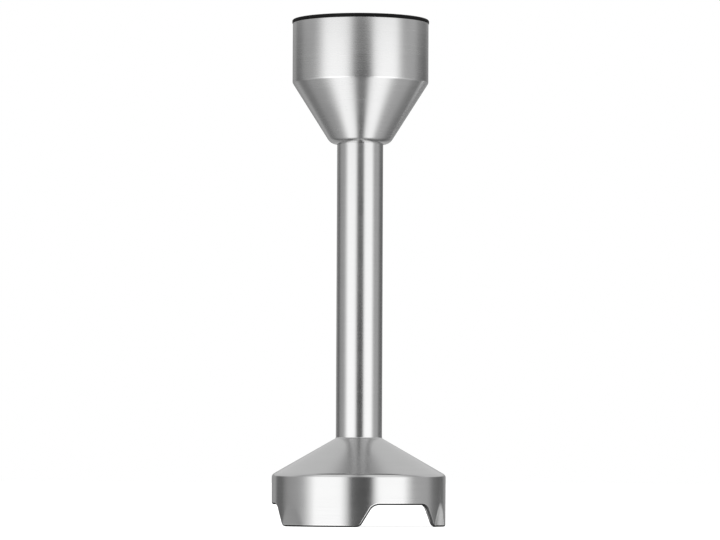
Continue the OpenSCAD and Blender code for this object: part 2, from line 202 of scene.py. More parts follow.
def solid(bm):
    """A loose object from a bmesh, for use in cut() and meet()."""
    bmesh.ops.recalc_face_normals(bm, faces=bm.faces)
    mesh = bpy.data.meshes.new("tool")
    bm.to_mesh(mesh)
    bm.free()
    tool = bpy.data.objects.new("tool", mesh)
    bpy.context.scene.collection.objects.link(tool)
    return tool


def prism(outline, low, high):
    """bmesh of a closed (x, y) outline extruded between two levels."""
    bm = bmesh.new()
    bottom = [bm.verts.new((x * MM, y * MM, low * MM)) for x, y in outline]
    top = [bm.verts.new((x * MM, y * MM, high * MM)) for x, y in outline]
    bm.faces.new(bottom)
    bm.faces.new(top)
    for i in range(len(outline)):
        j = (i + 1) % len(outline)
        bm.faces.new((bottom[i], bottom[j], top[j], top[i]))
    return bm


def round_outline(r, x=0, y=0, steps=48):
    return [(x + r * cos(2 * pi * i / steps), y + r * sin(2 * pi * i / steps)) for i in range(steps)]


def hexagon(across, x=0, y=0):
    r = across / 2 / cos(radians(30))
    return [(x + r * cos(radians(60 * i)), y + r * sin(radians(60 * i))) for i in range(6)]


def combine(target, tools, operation):
    """Applies one boolean for each tool to the target object, and removes the tools."""
    bpy.context.view_layer.update()
    for tool in tools:
        modifier = target.modifiers.new("boolean", "BOOLEAN")
        modifier.operation = operation
        modifier.solver = "EXACT"
        modifier.object = tool
    apply_modifiers(target)
    for tool in tools:
        bpy.data.objects.remove(tool)
    return target


def apply_modifiers(piece):
    depsgraph = bpy.context.evaluated_depsgraph_get()
    mesh = bpy.data.meshes.new_from_object(piece.evaluated_get(depsgraph))
    piece.modifiers.clear()
    piece.data = mesh


def to_bmesh(piece):
    """Takes a loose object's mesh back into a bmesh and removes the object."""
    bm = bmesh.new()
    bm.from_mesh(piece.data)
    bpy.data.objects.remove(piece)
    return bm


def bevelled(piece, width, segments=2, angle=40):
    """Breaks a loose object's sharp edges."""
    modifier = piece.modifiers.new("bevel", "BEVEL")
    modifier.width = width * MM
    modifier.segments = segments
    modifier.limit_method = "ANGLE"
    modifier.angle_limit = radians(angle)
    modifier.use_clamp_overlap = True
    apply_modifiers(piece)
    return piece


# ------------------------------------------------------------------ materials


class Nodes:
    """Short calls for building one material's nodes."""

    def __init__(self, name):
        self.material = bpy.data.materials.new(name)
        self.material.use_nodes = True
        self.tree = self.material.node_tree
        self.shader = self.tree.nodes["Principled BSDF"]

    def add(self, kind, **settings):
        node = self.tree.nodes.new(kind)
        for key, value in settings.items():
            setattr(node, key, value)
        return node

    def link(self, output, target):
        self.tree.links.new(output, target)

    def set(self, **values):
        for key, value in values.items():
            self.shader.inputs[key.replace("_", " ")].default_value = value

    def math(self, operation, a, b=0.0):
        node = self.add("ShaderNodeMath", operation=operation)
        for socket, value in zip(node.inputs, (a, b)):
            if isinstance(value, (int, float)):
                socket.default_value = value
            else:
                self.link(value, socket)
        return node.outputs[0]

    def place(self):
        """The point on the piece, in metres, in the row frame at rest."""
        return self.add("ShaderNodeTexCoord").outputs["Object"]

    def turned_place(self, along, across):
        """A place for marks that run round the axis: along scales their length, across how close they lie."""
        split = self.add("ShaderNodeSeparateXYZ")
        self.link(self.place(), split.inputs[0])
        x, y, z = split.outputs
        radius = self.math("SQRT", self.math("ADD", self.math("MULTIPLY", x, x), self.math("MULTIPLY", y, y)))
        join = self.add("ShaderNodeCombineXYZ")
        self.link(self.math("MULTIPLY", x, along), join.inputs[0])
        self.link(self.math("MULTIPLY", y, along), join.inputs[1])
        self.link(self.math("MULTIPLY", self.math("ADD", z, radius), across), join.inputs[2])
        return join.outputs[0]

    def noise(self, place, scale, detail=2.0, roughness=0.5):
        node = self.add("ShaderNodeTexNoise")
        self.link(place, node.inputs["Vector"])
        node.inputs["Scale"].default_value = scale
        node.inputs["Detail"].default_value = detail
        node.inputs["Roughness"].default_value = roughness
        return node.outputs["Fac"]

    def span(self, value, low, high, from_low=0.3, from_high=0.7):
        """Maps value, from from_low..from_high, on to low..high."""
        node = self.add("ShaderNodeMapRange")
        self.link(value, node.inputs["Value"])
        for key, number in zip(("From Min", "From Max", "To Min", "To Max"), (from_low, from_high, low, high)):
            node.inputs[key].default_value = number
        return node.outputs[0]

    def colours(self, value, *stops):
        """A colour ramp: stops are (position, (r, g, b))."""
        node = self.add("ShaderNodeValToRGB")
        self.link(value, node.inputs[0])
        elements = node.color_ramp.elements
        while len(elements) < len(stops):
            elements.new(0.5)
        for element, (position, colour) in zip(elements, stops):
            element.position = position
            element.color = (*colour, 1)
        return node.outputs[0]

    def bump(self, height, distance, strength=1.0, normal=None):
        node = self.add("ShaderNodeBump")
        self.link(height, node.inputs["Height"])
        node.inputs["Distance"].default_value = distance
        node.inputs["Strength"].default_value = strength
        if normal:
            self.link(normal, node.inputs["Normal"])
        return node.outputs[0]


def grey(value, warmth=0.0):
    return (value + warmth, value, value - warmth)


def brushed_metal(name, colour, roughness, marks=0.05, spacing=3500, tint=1.0):
    """Metal finished on a lathe: fine marks round the axis, broader bands of roughness round it, and faint blotches
    from handling.
    """
    n = Nodes(name)
    fine = n.noise(n.turned_place(18, spacing), 1.0, 3.0, 0.6)
    bands = n.noise(n.turned_place(5, 420), 1.0, 2.0)
    blotches = n.noise(n.place(), 38.0, 4.0, 0.55)
    dark = tuple(0.965 * c for c in colour)
    light = tuple(min(1.0, 1.02 * c) for c in colour)
    n.link(n.colours(n.math("ADD", n.math("MULTIPLY", fine, 0.6), n.math("MULTIPLY", blotches, 0.4)),
                     (0.38, dark), (0.5, colour), (0.62, light)), n.shader.inputs["Base Color"])
    rough = n.math("ADD", n.span(fine, roughness - marks, roughness + marks), n.span(bands, -marks / 3, marks / 3))
    rough = n.math("ADD", rough, n.span(blotches, -0.02, 0.03))
    n.link(rough, n.shader.inputs["Roughness"])
    n.link(n.bump(fine, 5e-7), n.shader.inputs["Normal"])
    n.set(Metallic=1.0, Specular_Tint=(tint, tint, tint, 1))
    return n.material


def ground_metal(name, colour, roughness):
    """Ground or rolled metal: fine marks along X, and blotches of darker tone and changed roughness."""
    n = Nodes(name)
    mapping = n.add("ShaderNodeMapping")
    mapping.inputs["Scale"].default_value = (120, 3800, 3800)
    n.link(n.place(), mapping.inputs["Vector"])
    fine = n.noise(mapping.outputs[0], 1.0, 3.0, 0.6)
    blotches = n.noise(n.place(), 120.0, 3.0)
    dark = tuple(0.88 * c for c in colour)
    n.link(n.colours(blotches, (0.35, dark), (0.6, colour)), n.shader.inputs["Base Color"])
    n.link(n.math("ADD", n.span(fine, roughness - 0.07, roughness + 0.07), n.span(blotches, -0.03, 0.03)),
           n.shader.inputs["Roughness"])
    n.link(n.bump(fine, 4e-7), n.shader.inputs["Normal"])
    n.set(Metallic=1.0)
    return n.material


def moulded(name, colour, roughness, grain=0.35, spread=0.15, shine=0.5):
    """Moulded plastic or rubber: a fine spark-eroded grain, slow changes of gloss, and a little dust in the tone."""
    n = Nodes(name)
    grains = n.noise(n.place(), 4200.0, 2.0, 0.6)
    flow = n.noise(n.place(), 55.0, 3.0)
    dust = n.noise(n.place(), 900.0, 4.0, 0.7)
    darker = tuple(c * (1 - spread) for c in colour)
    lighter = tuple(min(1.0, c * (1 + spread) + 0.004) for c in colour)
    n.link(n.colours(n.math("ADD", n.math("MULTIPLY", flow, 0.55), n.math("MULTIPLY", dust, 0.45)),
                     (0.35, darker), (0.5, colour), (0.68, lighter)), n.shader.inputs["Base Color"])
    n.link(n.math("ADD", n.span(flow, roughness - 0.05, roughness + 0.05), n.span(grains, -0.04, 0.04)),
           n.shader.inputs["Roughness"])
    n.link(n.bump(grains, 6e-6, grain), n.shader.inputs["Normal"])
    n.set(Specular_IOR_Level=shine)
    return n.material


cup_steel = brushed_metal("cup_brushed_stainless", grey(0.71), 0.25, 0.02)
tube_steel = brushed_metal("tube_brushed_stainless", grey(0.70), 0.22, 0.02)
bell_steel = brushed_metal("bell_brushed_stainless", grey(0.70), 0.17, 0.02)
# The bell's rolled and broken edges: the same stainless, with painted shade in a dark base colour and edge tint,
# standing for the dark that they reflect.
painted_dark_edge_steel = brushed_metal("edge_painted_shade_stainless", grey(0.1), 0.5, 0.04, tint=0.15)
polished = brushed_metal("polished_stainless", grey(0.72), 0.14, 0.02)
aluminium = brushed_metal("turned_aluminium", grey(0.72, -0.004), 0.32, 0.06, 2200)
zinc = ground_metal("zinc_steel", grey(0.62, -0.006), 0.34)
spring_steel = ground_metal("spring_steel", grey(0.22, -0.004), 0.42)
blade_steel = ground_metal("blade_steel", grey(0.68, 0.003), 0.26)
ground_steel = brushed_metal("ground_steel", grey(0.66), 0.28, 0.05, 2600)
bearing_steel = brushed_metal("bearing_steel", grey(0.74), 0.14, 0.03)
brass = brushed_metal("cage_brass", (0.72, 0.52, 0.24), 0.3, 0.05)
bronze = brushed_metal("bush_bronze", (0.56, 0.36, 0.2), 0.42, 0.06)
rubber = moulded("black_rubber", grey(0.006), 0.6, 0.5, shine=0.1)
black_plastic = moulded("black_plastic", grey(0.03), 0.42, 0.6)
coupler_plastic = moulded("coupler_plastic", (0.74, 0.72, 0.66), 0.4, 0.4, 0.05)
ivory_plastic = moulded("ivory_plastic", (0.8, 0.77, 0.69), 0.38, 0.3, 0.04)

# ------------------------------------------------------------------ tube, cup and gasket

CUP_WALL = 1.4
CUP_SLOPE = radians(32.3)
LIP_ROUND = 5.8
LIP_CORNER = 3.4  # from the tube to where the cone's line meets the lip's level
CONE_ROUND = 2.5


def make_tube():
    wall = 1.4
    lathe("outer_tube", [(tube.r - wall, tube.low, 0.3), (tube.r, tube.low, 0.4),
                         (tube.r, tube.top, 0.4), (tube.r - wall, tube.top, 0.3)],
          "arm", tube_steel, ["shaft_tube"])


def make_cup():
    corner_r = tube.r + LIP_CORNER
    cone_top = cup.low + (cup.r - corner_r) / tan(CUP_SLOPE)
    path = [(tube.r + 0.03, cup.low), (corner_r, cup.low, LIP_ROUND - 0.1), (cup.r, cone_top, CONE_ROUND),
            (cup.r, cup.top)]
    bm = turned(sheet(path, CUP_WALL))
    new_piece("coupling_cup_shell", bm, "arm", cup_steel, ["coupling_cup"])


def make_gasket():
    bore = cup.r - CUP_WALL - 0.02
    inner = bore - 1.5
    path = [(inner, gasket.low, 0.4), (bore, gasket.low, 0.3), (bore, cup.top + 0.01),
            (gasket.r, cup.top + 0.01, 0.25), (gasket.r, gasket.top, 0.9), (inner, gasket.top, 0.5)]
    lathe("rim_gasket_ring", path, "arm", rubber, ["rim_gasket"])


# ------------------------------------------------------------------ bell

BELL_WALL = 1.5
BELL_SLOPE = radians(29.8)
SHOULDER_Z = 28.2
SHOULDER_ROUND = 2.5
NECK_H = 8
NECK_FILLET = 0.9
WINDOW_H = 11.9
WINDOW_TOP_W = 33
WINDOW_SOLE_W = 46.6
WINDOW_ROUND = 5.5
SOLE_ROUND = 3.5
SOLE_RUN = 9  # level stretch of sole that a window's lower corner is rounded into
PRESS_TURN = -20.2
PRESS_LEAN = 3.5
PRESS_DEPTH = 0.84
PRESS_HOLLOW = 150  # radius of the hollow
PRESS_SOFTNESS = 0.15  # how soft its creases are
EDGE_ROUND = 1.15  # the sheet's rolled edge, on the outside
EDGE_BREAK = 0.3
PLAIN_FROM = 17  # above this level the bell is a plain turned shape


def soft_min(a, b, softness):
    """The smaller of the two, with the change from one to the other rounded off."""
    h = max(softness - abs(a - b), 0) / softness
    return min(a, b) - h * h * softness / 4


def skirt_radius(azimuth, z, inset):
    """Radius of the skirt's surface, inset inside its outer face, with the hollow pressed into each foot's flank."""
    r = bell.r - inset
    turn = radians((azimuth - PRESS_TURN + PITCH / 2) % PITCH - PITCH / 2)
    flat = (bell.r - PRESS_DEPTH + z * sin(radians(PRESS_LEAN))) / cos(radians(PRESS_LEAN))
    if flat >= bell.r or abs(turn) > radians(45):
        return r
    half_width_squared = bell.r * bell.r - flat * flat
    deepest = flat - half_width_squared / (2 * PRESS_HOLLOW) - inset
    reach = deepest / cos(turn) * (1 + deepest * tan(turn) ** 2 / (2 * PRESS_HOLLOW))
    return soft_min(r, reach, PRESS_SOFTNESS)


def window_side():
    """Half of a window's outline from its middle to the sole, as (distance from the middle, height, steepness).

    The steepness is how much further a cut perpendicular to the edge runs when it is measured straight up.
    """
    top, sole = WINDOW_TOP_W / 2, WINDOW_SOLE_W / 2
    slope = atan2(WINDOW_H, sole - top)
    upper = arc_corner((0, WINDOW_H), (top, WINDOW_H), (sole, 0), WINDOW_ROUND)
    lower = arc_corner((top, WINDOW_H), (sole, 0), (sole + SOLE_RUN, 0), SOLE_ROUND)
    side = [(upper[0][0] * i / 12, WINDOW_H, 1.0) for i in range(12)]
    for i, (x, z) in enumerate(upper):
        side.append((x, z, 1 / cos(slope * i / (len(upper) - 1))))
    for i in range(1, 8):
        share = i / 8
        side.append((upper[-1][0] + (lower[0][0] - upper[-1][0]) * share,
                     upper[-1][1] + (lower[0][1] - upper[-1][1]) * share, 1 / cos(slope)))
    for i, (x, z) in enumerate(lower):
        side.append((x, z, 1 / cos(slope * (1 - i / (len(lower) - 1)))))
    return side


def bell_columns():
    """Where the bell's columns stand: (azimuth outside, azimuth inside, height and steepness of the edge)."""
    def azimuths(x):
        return degrees(asin(x / bell.r)), degrees(asin(x / (bell.r - BELL_WALL)))

    columns = []
    side = window_side()
    sole_steps = 40
    for foot in range(FEET):
        first, last = foot * PITCH - PITCH / 2, foot * PITCH + PITCH / 2
        for x, z, steep in side:
            outside, inside = azimuths(x)
            columns.append((first + outside, first + inside, z, steep))
        outside, inside = azimuths(side[-1][0])
        for i in range(1, sole_steps):
            share = i / sole_steps
            columns.append((first + outside + (PITCH - 2 * outside) * share,
                            first + inside + (PITCH - 2 * inside) * share, 0.0, 1.0))
        for x, z, steep in side[:0:-1]:
            outside, inside = azimuths(x)
            columns.append((last - outside, last - inside, z, steep))
    return columns


def make_bell():
    neck_r = tube.r + 0.03
    upper = rounded([(bell.r, PLAIN_FROM), (bell.r, SHOULDER_Z, SHOULDER_ROUND),
                     (neck_r + 0.02, bell.top, NECK_FILLET), (neck_r + 0.02, bell.top + 0.4)], closed=False)
    inner_path = [(neck_r, bell.top + 0.4), (neck_r, bell.top - NECK_H), (neck_r + BELL_WALL, bell.top - NECK_H),
                  (neck_r + BELL_WALL, bell.top - BELL_WALL / cos(BELL_SLOPE) - BELL_WALL * tan(BELL_SLOPE), 0.8),
                  (bell.r - BELL_WALL, SHOULDER_Z - BELL_WALL * tan(BELL_SLOPE / 2), 1.2),
                  (bell.r - BELL_WALL, PLAIN_FROM)]
    inner = rounded(inner_path, closed=False)
    rows = 20
    bm = bmesh.new()
    columns = []
    for outside, inside, edge, steep in bell_columns():
        loop = []
        for i in range(7):
            turn = radians(15 * i)
            loop.append((EDGE_ROUND * (1 - sin(turn)), outside, edge + EDGE_ROUND * (1 - cos(turn)) * steep))
        start = loop[-1][2]
        for i in range(1, rows):
            loop.append((0, outside, start + (PLAIN_FROM - start) * i / rows))
        loop = [(skirt_radius(a, z, 0) - inset, a, z) for inset, a, z in loop]
        loop += [(r, outside, z) for r, z in upper]
        loop += [(r, inside, z) for r, z in inner]
        back = []
        for i in range(4):
            turn = radians(30 * i)
            back.append((EDGE_BREAK * (1 - sin(turn)), inside, edge + EDGE_BREAK * (1 - cos(turn)) * steep))
        start = back[-1][2]
        for i in range(1, rows):
            back.append((0, inside, start + (PLAIN_FROM - start) * i / rows))
        loop += [(skirt_radius(a, z, BELL_WALL) + inset, a, z) for inset, a, z in back[::-1]]
        columns.append([bm.verts.new((r * MM * cos(radians(a)), r * MM * sin(radians(a)), z * MM)) for r, a, z in loop])
    count = len(columns[0])
    for one, other in zip(columns, columns[1:] + columns[:1]):
        for i in range(count):
            j = (i + 1) % count
            face = bm.faces.new((one[i], other[i], other[j], one[j]))
            # the rows round the rolled and broken edges take the steel with painted shade
            face.material_index = 1 if i < 5 or i >= count - 4 else 0
    guard = new_piece("bell_guard", bm, "arm", bell_steel, ["bell"], 38)
    guard.data.materials.append(painted_dark_edge_steel)


# ------------------------------------------------------------------ inside the cup

SOCKET_R = 31.5
WELL_R = 28
COLLAR_R = 13
COLLAR_H = 8
STEP_BELOW_TOP = 16
INSERT_WALL = 2.5
INSERT_FLOOR = 3
SLOTS = 3
SLOT_ANGLE = 10
SLOT_TURN = 14
SLOT_DEPTH = 1.6
GROOVE_ABOVE_STEP = 4
GROOVE_H = 4
RIBS = 12
RIB_W = 1.8
SCREWS = 4
SCREW_RING = 24


def sector_outline(r, start, stop):
    """A pie slice from the axis to radius r, between two azimuths in degrees."""
    steps = 8
    rim = []
    for i in range(steps + 1):
        azimuth = radians(start + (stop - start) * i / steps)
        rim.append((r * cos(azimuth), r * sin(azimuth)))
    return [(0, 0), *rim]


def ring_cutter(outline, low, high):
    """A prism kept outside the socket's bore, so that it cuts the wall only."""
    tool = solid(prism(outline, low, high))
    core = solid(prism(round_outline(SOCKET_R - 0.4, steps=STEPS), low - 1, high + 1))
    return combine(tool, [core], "DIFFERENCE")


def screw_places():
    for i in range(SCREWS):
        azimuth = radians(45 + 360 / SCREWS * i)
        yield SCREW_RING * cos(azimuth), SCREW_RING * sin(azimuth)


def make_insert():
    floor = insert.low + INSERT_FLOOR
    step = insert.top - STEP_BELOW_TOP
    outer = WELL_R + INSERT_WALL
    path = [(COLLAR_R, insert.low, 0.3), (outer, insert.low, 0.5), (outer, step - INSERT_WALL, 0.4),
            (insert.r, step - INSERT_WALL, 0.5), (insert.r, insert.top, 0.4), (SOCKET_R, insert.top, 0.7),
            (SOCKET_R, step, 0.4), (WELL_R, step, 0.6), (WELL_R, floor, 0.8), (COLLAR_R + 2, floor, 0.8),
            (COLLAR_R + 2, floor + COLLAR_H, 0.6), (COLLAR_R, floor + COLLAR_H, 0.6)]
    body = solid(turned(rounded(path)))
    groove = step + GROOVE_ABOVE_STEP
    tools = []
    for i in range(SLOTS):
        start = 360 / SLOTS * i - SLOT_ANGLE / 2
        reach = SOCKET_R + SLOT_DEPTH
        tools.append(ring_cutter(sector_outline(reach, start, start + SLOT_ANGLE), groove, insert.top + 1))
        tools.append(ring_cutter(sector_outline(reach, start, start + SLOT_ANGLE + SLOT_TURN), groove,
                                 groove + GROOVE_H))
    for x, y in screw_places():
        tools.append(solid(prism(round_outline(2.25, x, y), insert.low - 1, floor + 1)))
    combine(body, tools, "DIFFERENCE")
    ribs = []
    for i in range(RIBS):
        azimuth = 360 / RIBS * i
        rib = prism([(WELL_R + 1, -RIB_W / 2), (insert.r - 0.6, -RIB_W / 2), (insert.r - 0.6, RIB_W / 2),
                     (WELL_R + 1, RIB_W / 2)], floor, step - INSERT_WALL / 2)
        bmesh.ops.rotate(rib, verts=rib.verts, matrix=Matrix.Rotation(radians(azimuth), 3, "Z"))
        ribs.append(solid(rib))
    combine(body, ribs, "UNION")
    new_piece("socket_liner", to_bmesh(body), "arm", black_plastic, ["socket_insert"], 32)


def make_screws():
    """Pan-head screws with a hexagonal recess."""
    head_h, head_r, shank_r = 2.6, 3.6, 2.0
    head_low = screw.top - head_h
    bodies = bmesh.new()
    for x, y in screw_places():
        path = [(0, screw.low), (shank_r, screw.low, 0.5), (shank_r, head_low), (head_r, head_low, 0.25),
                (head_r, screw.top, 1.1), (0, screw.top)]
        body = solid(turned(rounded(path), 48))
        combine(body, [solid(prism(hexagon(3.0), head_low + 1, screw.top + 1))], "DIFFERENCE")
        body.data.transform(Matrix.Translation((x * MM, y * MM, 0)))
        bodies.from_mesh(body.data)
        bpy.data.objects.remove(body)
    new_piece("socket_screws", bodies, "arm", zinc, ["insert_screws"])


def make_carrier():
    """Turned carrier of the upper bearing: hub, flange and bearing seat."""
    hub_r, flange_h, seat_r = tube.r + 2.8, 4, outer_race.r + 0.02
    path = [(tube.r + 0.02, carrier.low, 0.3), (hub_r, carrier.low, 0.6), (hub_r, carrier.top - flange_h, 0.8),
            (carrier.r, carrier.top - flange_h, 0.5), (carrier.r, carrier.top, 0.5), (seat_r, carrier.top, 0.3),
            (seat_r, bearing_clip.top + FIT), (bearing_clip.r + GROOVE_ROOM, bearing_clip.top + FIT),
            (bearing_clip.r + GROOVE_ROOM, bearing_clip.low - FIT), (seat_r, bearing_clip.low - FIT),
            (seat_r, outer_race.low), (outer_race.r - 1.6, outer_race.low, 0.3),
            (outer_race.r - 1.6, tube.top, 0.2), (tube.r + 0.02, tube.top, 0.2)]
    body = solid(turned(rounded(path)))
    holes = [solid(prism(round_outline(2.02, x, y), carrier.top - flange_h - 1, carrier.top + 1))
             for x, y in screw_places()]
    combine(body, holes, "DIFFERENCE")
    new_piece("bearing_carrier_hub", to_bmesh(body), "arm", aluminium, ["bearing_carrier"])


def make_coupler():
    foot_r, head_r, across, depth = 6.5, coupler.r, 10.4, 8
    head_low = coupler.top - depth - 1.2
    bore_r, bore_top = 4.02, coupler.top - depth - 0.5
    path = [(0, bore_top), (bore_r, bore_top, 0.3), (bore_r, coupler.low, 0.3), (foot_r, coupler.low, 0.5),
            (foot_r, head_low, 0.6), (head_r, head_low, 0.5), (head_r, coupler.top, 0.9),
            (across / 2 + 1.0, coupler.top, 0.3), (across / 2 - 0.3, coupler.top - 1.3),
            (across / 2 - 0.3, coupler.top - depth), (0, coupler.top - depth)]
    body = solid(turned(rounded(path), 96))
    tools = [solid(prism(hexagon(across), coupler.top - depth, coupler.top - 0.6))]
    cross_hole = prism(round_outline(1.52), -8, 8)
    bmesh.ops.rotate(cross_hole, verts=cross_hole.verts, matrix=Matrix.Rotation(radians(90), 3, "X"))
    bmesh.ops.translate(cross_hole, verts=cross_hole.verts, vec=(0, 0, (coupler.low + 4.6) * MM))
    tools.append(solid(cross_hole))
    combine(body, tools, "DIFFERENCE")
    new_piece("hex_coupler", to_bmesh(body), "drive", coupler_plastic, ["drive_coupler"])


# ------------------------------------------------------------------ under the bell


SEAL_BORE_R = 9.0
BUSH_SEAT_R = 6.0
O_RING_R = 1.0


def make_housing():
    """Lower housing, as far as its bores: the seals and the bush stay in it."""
    foot_top = tube.low
    bore = tube.r - 1.4 - FIT
    seal_top = upper_seal.top + 0.3
    clip_groove_r = seal_clip.r + GROOVE_ROOM
    path = [(SEAL_BORE_R, housing.low, 0.4), (tube.r, housing.low, 0.8), (tube.r, foot_top, 0.2),
            (bore, foot_top, 0.2)]
    for middle in (o_rings.low + O_RING_R, o_rings.top - O_RING_R):
        path += [(bore, middle - 1.2, 0.15), (bore - 2.1, middle - 1.2, 0.2), (bore - 2.1, middle + 1.2, 0.2),
                 (bore, middle + 1.2, 0.15)]
    path += [(bore, housing.top, 0.5), (5.2, housing.top, 0.3), (5.2, housing.top - 2, 0.2),
             (BUSH_SEAT_R, housing.top - 2, 0.1), (BUSH_SEAT_R, seal_top, 0.2), (SEAL_BORE_R, seal_top, 0.3),
             (SEAL_BORE_R, seal_clip.top + FIT), (clip_groove_r, seal_clip.top + FIT),
             (clip_groove_r, seal_clip.low - FIT), (SEAL_BORE_R, seal_clip.low - FIT)]
    lathe("seal_housing", path, "arm", aluminium, ["lower_housing"])


def make_blade_stack():
    seat = 3.52
    lathe("slinger_disc", [(seat, slinger.low, 0.1), (slinger.r, slinger.low, 0.5), (slinger.r, slinger.top, 0.3),
                           (seat, slinger.top, 0.1)], "drive", ivory_plastic, ["slinger_washer"])
    lathe("spacer_sleeve", [(seat, spacer.low, 0.2), (spacer.r, spacer.low, 0.4), (spacer.r, spacer.low + 2.4, 0.6),
                            (spacer.r - 1.1, spacer.low + 3.6, 0.6), (spacer.r - 1.1, spacer.top, 0.3),
                            (seat, spacer.top, 0.2)], "drive", polished, ["blade_spacer"])
    lathe("nut_washer", [(3.02, washer.low, 0.15), (washer.r, washer.low, 0.3), (washer.r, washer.top, 0.15),
                         (3.02, washer.top, 0.1)], "drive", polished, ["blade_washer"], 96)
    make_nut()
    make_blade()


def make_nut():
    """Domed nut: a hexagon met by a turned blank with a chamfer at its seat and a ball end."""
    across = 10
    corner_r = across / 2 / cos(radians(30))
    blank = [(3.02, nut.top, 0.1), (3.02, nut.low + 1.5, 0.1), (0, nut.low + 1.5), (0, nut.low)]
    ball_r = 6.2
    for i in range(1, 11):
        angle = radians(90 * i / 10)
        r, z = ball_r * sin(angle), nut.low + ball_r * (1 - cos(angle))
        if r < corner_r + 0.3:
            blank.append((r, z))
    blank += [(corner_r + 0.3, nut.top - 0.8), (corner_r - 0.6, nut.top)]
    body = solid(turned(rounded(blank), 96))
    combine(body, [solid(prism(hexagon(across), nut.low - 1, nut.top + 1))], "INTERSECT")
    bevelled(body, 0.15, 2, 30)
    bm = to_bmesh(body)
    bmesh.ops.remove_doubles(bm, verts=bm.verts, dist=0.01 * MM)  # specks that the bevel leaves at the corners
    new_piece("domed_nut", bm, "drive", polished, ["blade_nut"])


WING_RISE = tan(radians(20))
WING_DROP = -tan(radians(8))
HUB_R = 8
WING_ROOT = 11
WING_TIP = 7
BLADE_T = 1.6
BEND_START = 6.5  # clear of the spacer and the washer that clamp the hub
BEND_LENGTH = 1.2
WING_START = 5.6  # past a wing's half width, so that the four wings don't meet each other
WING_SHY = 0.01  # how far a wing's faces lie inside the hub's: no two faces share a plane


def wing_height(distance, slope):
    """How far a wing has risen at a distance from the axis: level, then a smooth bend, then straight."""
    s = distance - BEND_START
    if s <= 0:
        return 0
    if s < BEND_LENGTH:
        return slope * s * s / (2 * BEND_LENGTH)
    return slope * (s - BEND_LENGTH / 2)


def wing_bmesh(slope):
    """One wing along +X as lofted sections: a rounded back, a flat, and a hollow-ground leading edge."""
    reach = blade.r
    stations = 22
    bm = bmesh.new()
    sections = []
    for i in range(stations + 1):
        x = WING_START + (reach - WING_START) * i / stations
        share = x / reach
        taper = max(0.0, (x - HUB_R) / (reach - HUB_R))
        back = -(WING_ROOT / 2 - 1 * share - (WING_ROOT - WING_TIP) / 2 * taper)
        lead = WING_ROOT / 2
        clipped = max(0.0, x - (reach - 3.2)) / 3.2
        back += clipped * clipped * 3.4
        lead -= clipped * clipped * 2.2
        grind = 2.8 if x > HUB_R else 2.8 * max(0.05, (x - 5) / (HUB_R - 5)) if x > 5 else 0.14
        rise = washer.top + wing_height(x, slope)
        section = [(lead, BLADE_T - 0.02), (lead, BLADE_T - 0.16), (lead - grind * 0.5, BLADE_T * 0.42),
                   (lead - grind, 0.12), (lead - grind - 0.4, 0.0), (back + 0.5, 0.0), (back + 0.15, 0.15),
                   (back, 0.5), (back, BLADE_T - 0.5), (back + 0.15, BLADE_T - 0.15), (back + 0.5, BLADE_T)]
        section = [(y, rise + min(max(z, WING_SHY), BLADE_T - WING_SHY)) for y, z in section]
        sections.append([bm.verts.new((x * MM, y * MM, z * MM)) for y, z in section])
    for one, other in zip(sections, sections[1:]):
        for k in range(len(one)):
            m = (k + 1) % len(one)
            bm.faces.new((one[k], other[k], other[m], one[m]))
    bm.faces.new(sections[0])
    bm.faces.new(sections[-1])
    return bm


def make_blade():
    low, high = washer.top, washer.top + BLADE_T
    hub = solid(turned(rounded([(0, low), (HUB_R, low, 0.3), (HUB_R, high, 0.3), (0, high)]), 96))
    wings = []
    for azimuth in (0, 90, 180, 270):
        wing = wing_bmesh(WING_RISE if azimuth % 180 == 0 else WING_DROP)
        bmesh.ops.rotate(wing, verts=wing.verts, matrix=Matrix.Rotation(radians(azimuth), 3, "Z"))
        wings.append(solid(wing))
    combine(hub, wings, "UNION")
    flats, seat = 5.6 / 2 + 0.02, 3.52
    half = sqrt(seat * seat - flats * flats)
    rim = [p for p in round_outline(seat, steps=64) if abs(p[0]) < flats]
    rim += [(flats, half), (flats, -half), (-flats, half), (-flats, -half)]
    rim.sort(key=lambda p: atan2(p[1], p[0]))
    combine(hub, [solid(prism(rim, low - 1, high + 1))], "DIFFERENCE")
    new_piece("cross_blade", to_bmesh(hub), "drive", blade_steel, ["blade"])


# ------------------------------------------------------------------ CAD pieces that keep their shape

KEPT = {
    "bearing_outer_race": bearing_steel, "bearing_inner_race": bearing_steel, "bearing_balls": bearing_steel,
    "bearing_shields": bearing_steel, "bearing_cage": brass, "preload_washer": spring_steel,
    "bearing_circlip": spring_steel, "shaft_circlip": spring_steel, "mid_bush": ivory_plastic,
    "lower_bush": bronze, "housing_o_rings": rubber, "upper_seal": rubber, "lower_seal": rubber,
    "seal_springs": spring_steel, "seal_circlip": spring_steel, "drive_shaft": ground_steel,
    "coupler_pin": ground_steel,
}


def dress_kept_nodes():
    for node, material in KEPT.items():
        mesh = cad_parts[node].data
        mesh.materials.clear()
        mesh.materials.append(material)


# ------------------------------------------------------------------ studio

CAMERA_DISTANCE = 2.3
CAMERA_HEIGHT = 0.028
CAMERA_TILT = 2.81
CAMERA_ROLL = 0.25
LENS = 209


def make_camera():
    data = bpy.data.cameras.new("camera")
    data.lens = LENS
    data.sensor_width = 36
    data.clip_end = 50
    camera = bpy.data.objects.new("camera", data)
    bpy.context.scene.collection.objects.link(camera)
    camera.location = (0.0002, -CAMERA_DISTANCE, CAMERA_HEIGHT)
    aim = Matrix.Rotation(radians(90 + CAMERA_TILT), 4, "X") @ Matrix.Rotation(radians(CAMERA_ROLL), 4, "Z")
    camera.rotation_euler = aim.to_euler()
    bpy.context.scene.camera = camera


